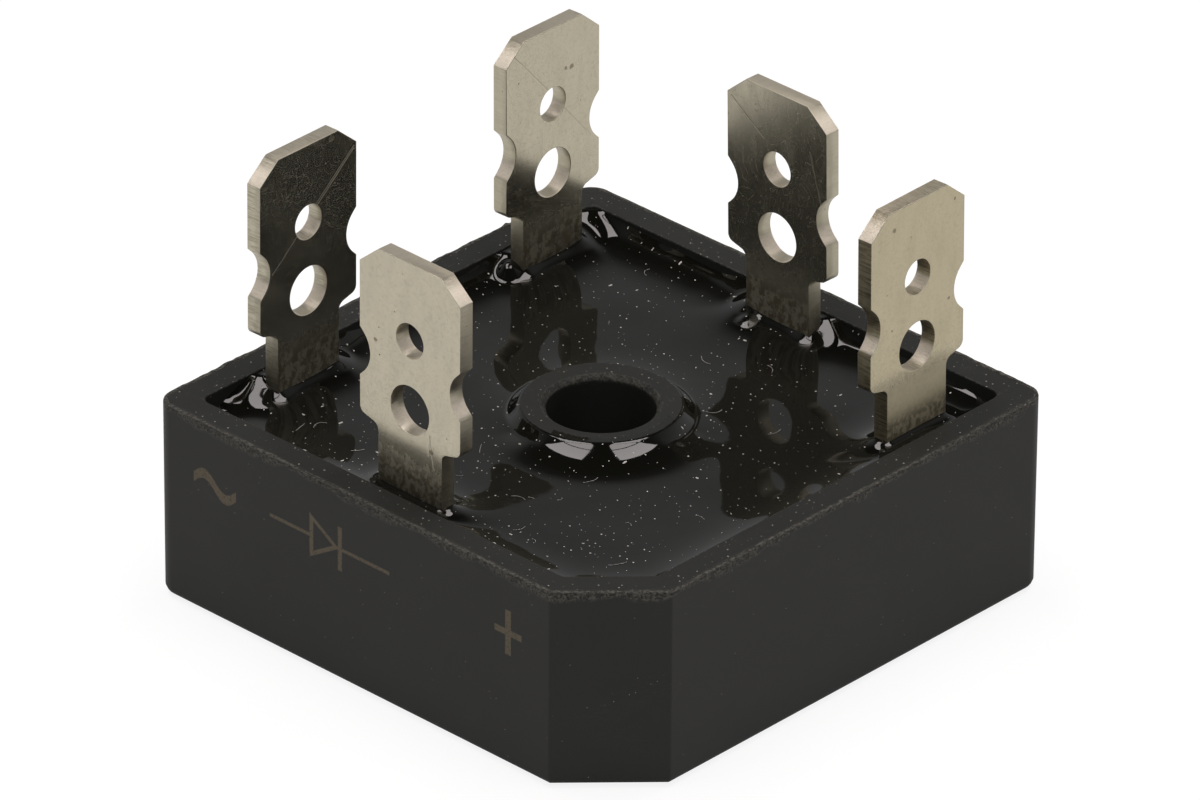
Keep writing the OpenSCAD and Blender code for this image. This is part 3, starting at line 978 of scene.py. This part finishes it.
class RECTIFIER_OT_terminals(bpy.types.Operator):
    """Model one punched terminal blank, copy it to the five places and bend each foot"""

    bl_idname = "rectifier.terminals"
    bl_label = "Terminals"

    def execute(self, context):
        size = context.scene.rectifier_tabs
        blank = self.blank(size)
        for name, stand in TERMINALS.items():
            piece = linked(name + "_punched", blank.data.copy())
            piece.data.name = piece.name
            self.bend(piece, name, size)
            self.stand_up(piece, name, stand, size)
            smooth(piece, 50.0, flats=True)
            dress(piece, nickel_finish(name, size))
            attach(piece, BODY)
            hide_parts(name)
        bpy.data.objects.remove(blank)
        return {"FINISHED"}

    def blank(self, size):
        """Flat sheet with its tip at height 0, its outer face at x = 0 and its neck pointing down."""
        edge = size.width / 2
        bottom = -size.shoulder_down - 3 * MM
        piece = block("blank", (0, -edge, bottom), (size.thickness, edge, 0))
        slope = Vector((0, size.tip_cut_height, size.tip_cut_width)).normalized()
        for side in (-1, 1):
            edit(piece)
            bpy.ops.mesh.bisect(
                plane_co=(0, side * edge, -size.tip_cut_height),
                plane_no=(0, side * slope.y, slope.z), clear_outer=True, use_fill=True, threshold=1e-7,
            )
            leave()
        holes = (
            ("latch_hole", size.latch_radius, size.latch_down, 64),
            ("wire_hole", size.wire_radius, size.wire_down, 72),
        )
        cutters = [
            rod(name, radius - size.edge_radius / 2, -OVER, size.thickness + OVER, sides, True, down)
            for name, radius, down, sides in holes
        ]
        for side in (-1, 1):
            cutters += [self.notch_cutter(side, size), self.neck_cutter(side, size, bottom)]
        carve(piece, *cutters)

        def shoulder(a, b):
            flat = abs(a.y - b.y) < SAME / 10 and abs(a.z - b.z) < SAME / 10
            return flat and abs(abs(a.y) - edge) < SAME and abs(a.z + size.shoulder_down) < 0.05 * MM

        bevel(piece, "EDGE", shoulder, 0.28 * MM, 5)
        round_edges(piece, size.edge_radius, 3, 50)
        tidy(piece, 0.001 * MM)
        return piece

    def notch_cutter(self, side, size):
        """A prism that stands on its rounded edge."""
        reach = size.notch_length / 2
        radius = (reach - size.notch_depth) / (math.sqrt(2) - 1)
        leg = reach * math.sqrt(2) + 1.0 * MM
        cutter = block("notch", (-OVER, 0, 0), (size.thickness + OVER, leg, leg))
        bevel(cutter, "EDGE", lambda a, b: max(map(abs, (a.y, b.y, a.z, b.z))) < SAME, radius, 10)
        cutter.rotation_euler = (math.radians(-45 if side > 0 else 135), 0, 0)
        cutter.location = (0, side * (size.width / 2 - reach), -size.notch_down)
        settle(cutter)
        return cutter

    def neck_cutter(self, side, size, bottom):
        """A block beside the neck whose top slopes as the shoulder does."""
        near, far = size.neck_width / 2, size.width / 2 + OVER
        low, high = sorted((side * near, side * far))
        top = -size.shoulder_down - size.shoulder_fall
        cutter = block("neck", (-OVER, low, bottom - OVER), (size.thickness + OVER, high, top))
        rise = size.shoulder_fall * (far - near) / (size.width / 2 - near)
        pick(cutter, "VERT", lambda p: p.z > top - SAME and abs(abs(p.y) - far) < SAME)
        bpy.ops.transform.translate(value=(0, 0, rise))
        leave()

        def inner_top(a, b):
            return all(abs(p.z - top) < SAME and abs(abs(p.y) - near) < SAME for p in (a, b))

        bevel(cutter, "EDGE", inner_top, 0.3 * MM, 6)
        return cutter

    def bend(self, piece, name, size):
        """Draws the neck down to its bend, turns it inwards and draws out the foot."""
        lo, hi = node_box(name)
        inner = size.thickness + size.bend_radius
        start = lo.z - hi.z + inner
        span = hi.x - lo.x if TERMINALS[name]["turn"] in (0, 180) else hi.y - lo.y
        bottom = min(v.co.z for v in piece.data.vertices)
        pick(piece, "VERT", lambda p: p.z < bottom + SAME)
        bpy.ops.transform.translate(value=(0, 0, start - bottom))
        leave()
        pick(piece, "FACE", lambda c, n: n.z < -0.9 and c.z < start + SAME)
        bpy.ops.mesh.spin(steps=8, angle=-math.pi / 2, center=(inner, 0, start), axis=(0, 1, 0))
        leave()
        # the face where the spin began is now inside the metal
        pick(piece, "FACE", lambda c, n: abs(n.z) > 0.99 and abs(c.z - start) < SAME and c.x < inner)
        bpy.ops.mesh.delete(type="ONLY_FACE")
        leave()

        def spun_end(c, n):
            return abs(n.x) > 0.99 and abs(c.x - inner) < 10 * SAME and c.z < start - size.bend_radius

        pick(piece, "FACE", spun_end)
        bpy.ops.mesh.extrude_region_move(TRANSFORM_OT_translate={"value": (span - inner, 0, 0)})
        leave()
        tidy(piece, 0.001 * MM)

    def stand_up(self, piece, name, stand, size):
        """Leans the tab about the foot of its neck, then puts it in its place."""
        level = bpy.context.scene.rectifier_potting.level
        pivot = Vector((size.thickness / 2, 0, level - node_box(name)[1].z))
        angles = [math.radians(a) for a in (stand["along"], -stand["outwards"], stand["twist"])]
        lean = Matrix.Translation(pivot) @ Euler(angles).to_matrix().to_4x4() @ Matrix.Translation(-pivot)
        at = terminal_place(name) + Vector(stand["shift"]) * MM
        place = Matrix.Translation(at) @ Matrix.Rotation(math.radians(stand["turn"]), 4, "Z")
        piece.matrix_world = place @ lean
        settle(piece)


def from_line(u, v, start, end):
    """Distance of a place from a straight line between two points."""
    du, dv = end[0] - start[0], end[1] - start[1]
    along = ((u - start[0]) * du + (v - start[1]) * dv) / (du * du + dv * dv)
    t = along.most(0.0).least(1.0)
    off_u, off_v = u - start[0] - t * du, v - start[1] - t * dv
    return (off_u * off_u + off_v * off_v) ** 0.5


def nickel_finish(name, size):
    """Nickel-plated sheet in the tab's own frame: x through the sheet, y along its width, z up from the tip."""
    stand = TERMINALS[name]
    f = Finish(bpy.data.materials.new(name + "_nickel"))
    coords = f.node("TexCoord")
    normal = coords.socket("Normal")
    turn = math.radians(stand["turn"])
    place = {"Location": terminal_place(name), "Rotation": (0, 0, turn), "Scale": (MM, MM, MM)}
    own = f.node("Mapping", {"vector_type": "TEXTURE"}, {"Vector": coords.socket("Object"), **place}).socket()
    through, across, up = f.split(own)
    outwards = (math.cos(turn), math.sin(turn), 0)
    facing = f.node("VectorMath", {"operation": "DOT_PRODUCT"}, [normal, outwards]).value("Value")
    edge = f.step(abs(facing), 0.86, 0.60)
    mottle = f.noise(f.stretch(own, 1.0, 1.6, 0.55), 0.9, 4.0, 0.6)
    blotch = f.noise(f.stretch(own, 1.0, 1.0, 0.8), 3.2, 3.0, 0.65)
    grain = f.noise(f.stretch(own, 1.0, 5.0, 1.0), 6.0, 3.0, 0.6)
    peel = f.noise(own, 6.0, 3.0, 0.65)
    specks = f.dots(own, 1.7, 0.10, 0.05) * f.step(f.noise(own, 0.6, 1.0), 0.50, 0.60)
    for (aside, below), radius in stand["spots"]:
        off = ((across - aside) ** 2 + (up - below) ** 2) ** 0.5 + (blotch - 0.5) * radius * 1.6
        specks = specks.most(f.step(off, radius, radius * 0.55))
    hair = f.noise(own, 1.1, 1.0, 0.5, 2.2)
    scratch = f.step(abs(hair - 0.5), 0.004, 0.0) * 0.25
    wobble = (f.noise(own, 1.4, 1.0) - 0.5) * 0.10
    for start, end in stand["scratches"]:
        scratch = scratch.most(f.step(from_line(across + wobble, up, start, end), 0.045, 0.015) * 0.6)
    # the neck is dull and stained where the heat and the resin have reached it, with a pale bloom about that
    stained = f.step(up + (blotch - 0.5) * 1.3, *stand["stained"]) * (1 - edge * 0.6)
    bloom = f.step(up + (blotch - 0.5) * 1.2, -7.7, -9.7) * stand["bloom"] * (1 - edge)
    bloom = bloom * (1 - stained * 0.45)
    # the shear leaves lines through the sheet, and a rougher break towards one face
    shear = f.noise(f.stretch(own, 0.45, 7.0, 7.0), 2.2, 3.0, 0.7)
    broken = f.step(through + (f.noise(own, 2.0, 2.0) - 0.5) * 0.35, 0.38, 0.62) * edge
    marked = edge * (f.step(shear, 0.46, 0.60) * stand["sheared"]).most(broken * stand["sheared"] * 0.4)
    # edges that face upwards aslant get a painted glint, a pale colour with less metal that stands in for the
    # overhead lamps' highlight, and the tip's corners are coined
    upwards = f.split(normal)[2]
    painted_glint = edge * f.step(upwards, 0.22, 0.50) * (1 - f.step(upwards, 0.88, 0.97) * 0.7)
    painted_glint = painted_glint * (0.7 + f.step(grain, 0.30, 0.60) * 0.3)
    coined = edge * f.step(up, -1.15, -0.95) * f.step(abs(across), 1.85, 2.0)
    tone = tuple(c * t for c, t in zip(size.nickel, stand["tone"]))
    shade = f.mix(f.step(mottle, 0.35, 0.75) * 0.35, tone, scaled(tone, 0.80))
    shade = f.mix(bloom * 0.9, shade, scaled(tone, 1.5))
    shade = f.mix(stained * f.step(blotch, 0.40, 0.58) * 0.75, shade, size.stain)
    shade = f.mix(specks * 0.75, shade, size.stain)
    shade = f.mix(marked.most(f.step(peel, 0.48, 0.72) * 0.16), shade, size.stain)
    # painted glint: upward-facing edges turn pale, as a highlight would make them
    shade = f.mix(painted_glint * 0.8, shade, size.painted_glint_colour)
    rough = 0.125 + mottle * 0.07 * stand["dull"] + edge * 0.16 + broken * 0.12 + specks * 0.2
    rough = rough + stained * 0.26 + scratch * 0.25 + bloom * 0.25
    height = mottle * 0.35 + grain * 0.06 + peel * 0.04 - scratch * 0.8 + stained * blotch * 1.2
    height = height + edge * shear * (0.5 + 2.4 * stand["sheared"])
    height = height + coined * f.noise(own, 9.0, 3.0, 0.7) * 2.5 - specks * 0.3
    # less metal under the painted glint, so that its pale colour shows as a highlight
    metal = 0.95 - bloom.most(painted_glint * 0.80)
    return f.surface(Base_Color=shade, Metallic=metal, Roughness=rough, Normal=f.bump(height, 0.010 * MM))


# ---------------------------------------------------------------- base plate and circuit


class RECTIFIER_OT_inner(bpy.types.Operator):
    """Give the base plate, the buses, the chips and the solder their finishes"""

    bl_idname = "rectifier.inner"
    bl_label = "Base plate and circuit"

    def execute(self, context):
        size = context.scene.rectifier_inner
        # a node takes the first of these words that its name holds
        finishes = {
            "base_plate": metal_finish("base_plate_metal", size.plate, 0.30, (0.6, 5.0, 1.0)),
            "_bus": metal_finish("bus_copper", size.copper, 0.28, (9.0, 1.0, 1.0)),
            "solder": metal_finish("solder_joint", size.solder, 0.42, (1.0, 1.0, 1.0)),
            "chip": chip_finish(size.silicon),
        }
        for name, thing in frame["nodes"].items():
            word = next((word for word in finishes if word in name), None)
            if word:
                dress(thing, finishes[word])
        return {"FINISHED"}


def metal_finish(name, shade, rough, grain):
    """Rolled or cast metal with a directed grain, stains and pits."""
    f, mm = new_finish(name)
    lines = f.noise(f.stretch(mm, *grain), 3.0, 2.0, 0.5)
    stain = f.noise(mm, 0.25, 4.0, 0.6)
    pits = f.dots(mm, 1.2, 0.10, 0.04)
    tone = f.mix(f.step(stain, 0.35, 0.75) * 0.5, shade, scaled(shade, 0.62))
    tone = f.mix(f.step(lines, 0.32, 0.68) * 0.45, tone, scaled(shade, 0.55))
    tone = f.mix(pits * 0.5, tone, scaled(shade, 0.35))
    roughness = rough + lines * 0.10 + stain * 0.12
    normal = f.bump(lines + pits * -1.5, 0.0012 * MM)
    return f.surface(Base_Color=tone, Metallic=1.0, Roughness=roughness, Normal=normal)


def chip_finish(shade):
    """Silicon with a matt metallised film."""
    f, mm = new_finish("diode_chip")
    film = f.noise(mm, 2.0, 3.0, 0.55)
    tone = f.mix(f.step(film, 0.3, 0.7), shade, scaled(shade, 1.9))
    normal = f.bump(f.noise(mm, 24.0), 0.004 * MM)
    return f.surface(Base_Color=tone, Metallic=0.25, Roughness=0.24 + film * 0.25, Normal=normal)


# ---------------------------------------------------------------- stage


class RECTIFIER_OT_stage(bpy.types.Operator):
    """Set up the floor, the lamps, the surroundings and the camera"""

    bl_idname = "rectifier.stage"
    bl_label = "Stage"

    def execute(self, context):
        size = context.scene.rectifier_stage
        across = Vector((math.cos(size.azimuth), math.sin(size.azimuth), 0))
        away = Vector((-math.sin(size.azimuth), math.cos(size.azimuth), 0))
        context.scene.camera = self.camera(size, across, away)
        context.scene.world = self.surroundings(across, away)
        self.floor(size)
        self.lamps(size, across, away)
        context.scene.view_settings.view_transform = "Standard"
        return {"FINISHED"}

    def camera(self, size, across, away):
        """Looks down at the object from the front, with a slight roll."""
        back = Vector((0, 0, math.sin(size.elevation))) - away * math.cos(size.elevation)
        up = back.cross(across)
        right = across * math.cos(size.roll) + up * math.sin(size.roll)
        top = up * math.cos(size.roll) - across * math.sin(size.roll)
        data = bpy.data.cameras.new("camera")
        data.lens = size.lens
        data.sensor_width = 36.0
        data.clip_start = 0.05
        data.clip_end = 50.0
        turn = Matrix((right, top, back)).transposed().to_4x4()
        return linked("camera", data, Matrix.Translation(Vector(size.aim) * MM + back * size.distance) @ turn)

    def floor(self, size):
        """Pale paper a hair below the object, white to the camera and clear from below."""
        deselect()
        bpy.ops.mesh.primitive_plane_add(size=6.0, location=(0, 0, -0.01 * MM))
        floor = added("floor")
        f, mm = new_finish("floor_paper")
        white = (size.floor_white,) * 3
        tone = f.mix(f.noise(mm, 0.02), white, scaled(white, 0.985))
        paper = f.node("BsdfDiffuse", None, {"Color": tone})
        faint = f.node("BsdfDiffuse", None, {"Color": (0.20, 0.20, 0.20)})
        glow = f.node("Emission", None, {"Color": (1.0, 1.0, 1.0), "Strength": 0.86})
        seen = f.node("AddShader", None, [faint, glow])
        path = f.node("LightPath")
        mirrored = path.value("Is Glossy Ray").most(path.value("Is Transmission Ray")) * 0.4
        shader = f.node("MixShader", None, [path.value("Is Camera Ray").most(mirrored), paper, seen])
        # it is clear as well to what looks down from the object's own underside
        below = f.node("NewGeometry").value("Backfacing")
        under = below.most(path.value("Ray Length") < 0.25 * MM)
        shader = f.node("MixShader", None, [under, shader, f.node("BsdfTransparent")])
        f.node("OutputMaterial", None, {"Surface": shader})
        dress(floor, f.owner)

    def surroundings(self, across, away):
        """White to the camera; to all else a grey room, pale low down and at the flanks, dark overhead."""
        world = bpy.data.worlds.new("room")
        f = Finish(world)
        x, y, z = f.split(f.node("TexCoord").socket("Generated"))
        # the greys of the walls by the height at which they are seen
        front, dim, flank = (
            f.node("ValToRGB", {"stops": stops}, {"Fac": z}).socket("Color")
            for stops in (
                (
                    (0.0, 0.15), (0.14, 0.46), (0.47, 0.31), (0.56, 0.23),
                    (0.65, 0.05), (0.74, 0.015), (1.0, 0.004),
                ),
                ((0.0, 0.80), (0.12, 0.25), (0.40, 0.05), (1.0, 0.004)),
                ((0.0, 0.10), (0.14, 0.44), (0.55, 0.30), (0.76, 0.20), (0.86, 0.03), (1.0, 0.004)),
            )
        )
        behind = f.step(x * away.x + y * away.y, -0.35, 0.45)
        sideways = abs(x * across.x + y * across.y)
        room = f.mix(behind, dim, f.mix(f.step(sideways, 0.30, 0.52), front, flank))
        shown = f.mix(f.node("LightPath").value("Is Camera Ray"), room, (1.0, 1.0, 1.0))
        backdrop = f.node("Background", None, {"Color": shown, "Strength": 1.0})
        f.node("OutputWorld", None, {"Surface": backdrop})
        return world

    def lamps(self, size, across, away):
        """Two soft lamps overhead, left and right of the camera's line, each split by a thin bar, and a weak
        wide one by the camera that no gloss shows."""
        height = size.lamp_height
        turn = Matrix.Rotation(size.azimuth, 4, "Z")
        inner, outer = 0.10, 0.46  # these and the next are shares of the height
        for side in (-1, 1):
            for part, (near, far) in enumerate(((-0.30, 0.02), (0.045, 0.42))):
                wide, deep = (outer - inner) * height, (far - near) * height
                data = bpy.data.lights.new(f"lamp_{side}_{part}", "AREA")
                data.shape = "RECTANGLE"
                data.size, data.size_y = wide, deep
                data.energy = size.lamp_radiance * math.pi * wide * deep
                data.color = (1.0, 0.94, 0.925)
                centre = across * (side * (inner + outer) / 2 * height) + away * ((near + far) / 2 * height)
                linked(data.name, data, Matrix.Translation(centre + Vector((0, 0, height))) @ turn)
        radius = 0.6
        data = bpy.data.lights.new("fill", "AREA")
        data.shape = "DISK"
        data.size = 2 * radius
        data.energy = size.fill_radiance * math.pi * math.pi * radius**2
        at = (Vector((0, 0, 1)) - away * 1.25).normalized() * 1.3
        fill = linked("fill", data, Matrix.Translation(at) @ at.to_track_quat("Z", "Y").to_matrix().to_4x4())
        fill.visible_glossy = False


# ---------------------------------------------------------------- panel and registration


PARTS = ("case", "flash", "potting", "fibres", "terminals", "inner", "stage")


class RECTIFIER_PT_panel(bpy.types.Panel):
    """Lists the rectifier's pieces and their sizes"""

    bl_label = "Bridge Rectifier"
    bl_idname = "RECTIFIER_PT_panel"
    bl_space_type = "VIEW_3D"
    bl_region_type = "UI"
    bl_category = "Rectifier"

    def draw(self, context):
        for part in PARTS:
            self.layout.operator("rectifier." + part)
        for prop, kind in GROUPS.items():
            box = self.layout.box()
            box.label(text=kind.__doc__)
            for key in kind.__annotations__:
                box.prop(getattr(context.scene, prop), key)


GROUPS = {
    "rectifier_case": CaseSettings,
    "rectifier_potting": PottingSettings,
    "rectifier_tabs": TabSettings,
    "rectifier_inner": InnerSettings,
    "rectifier_stage": StageSettings,
}
CLASSES = (
    *GROUPS.values(),
    RECTIFIER_OT_case,
    RECTIFIER_OT_flash,
    RECTIFIER_OT_potting,
    RECTIFIER_OT_fibres,
    RECTIFIER_OT_terminals,
    RECTIFIER_OT_inner,
    RECTIFIER_OT_stage,
    RECTIFIER_PT_panel,
)


def register():
    for kind in CLASSES:
        bpy.utils.register_class(kind)
    for prop, kind in GROUPS.items():
        setattr(bpy.types.Scene, prop, bpy.props.PointerProperty(type=kind))


def unregister():
    for prop in GROUPS:
        delattr(bpy.types.Scene, prop)
    for kind in reversed(CLASSES):
        bpy.utils.unregister_class(kind)


def main():
    register()
    for part in PARTS:
        getattr(bpy.ops.rectifier, part)()


if __name__ == "__main__":
    main()
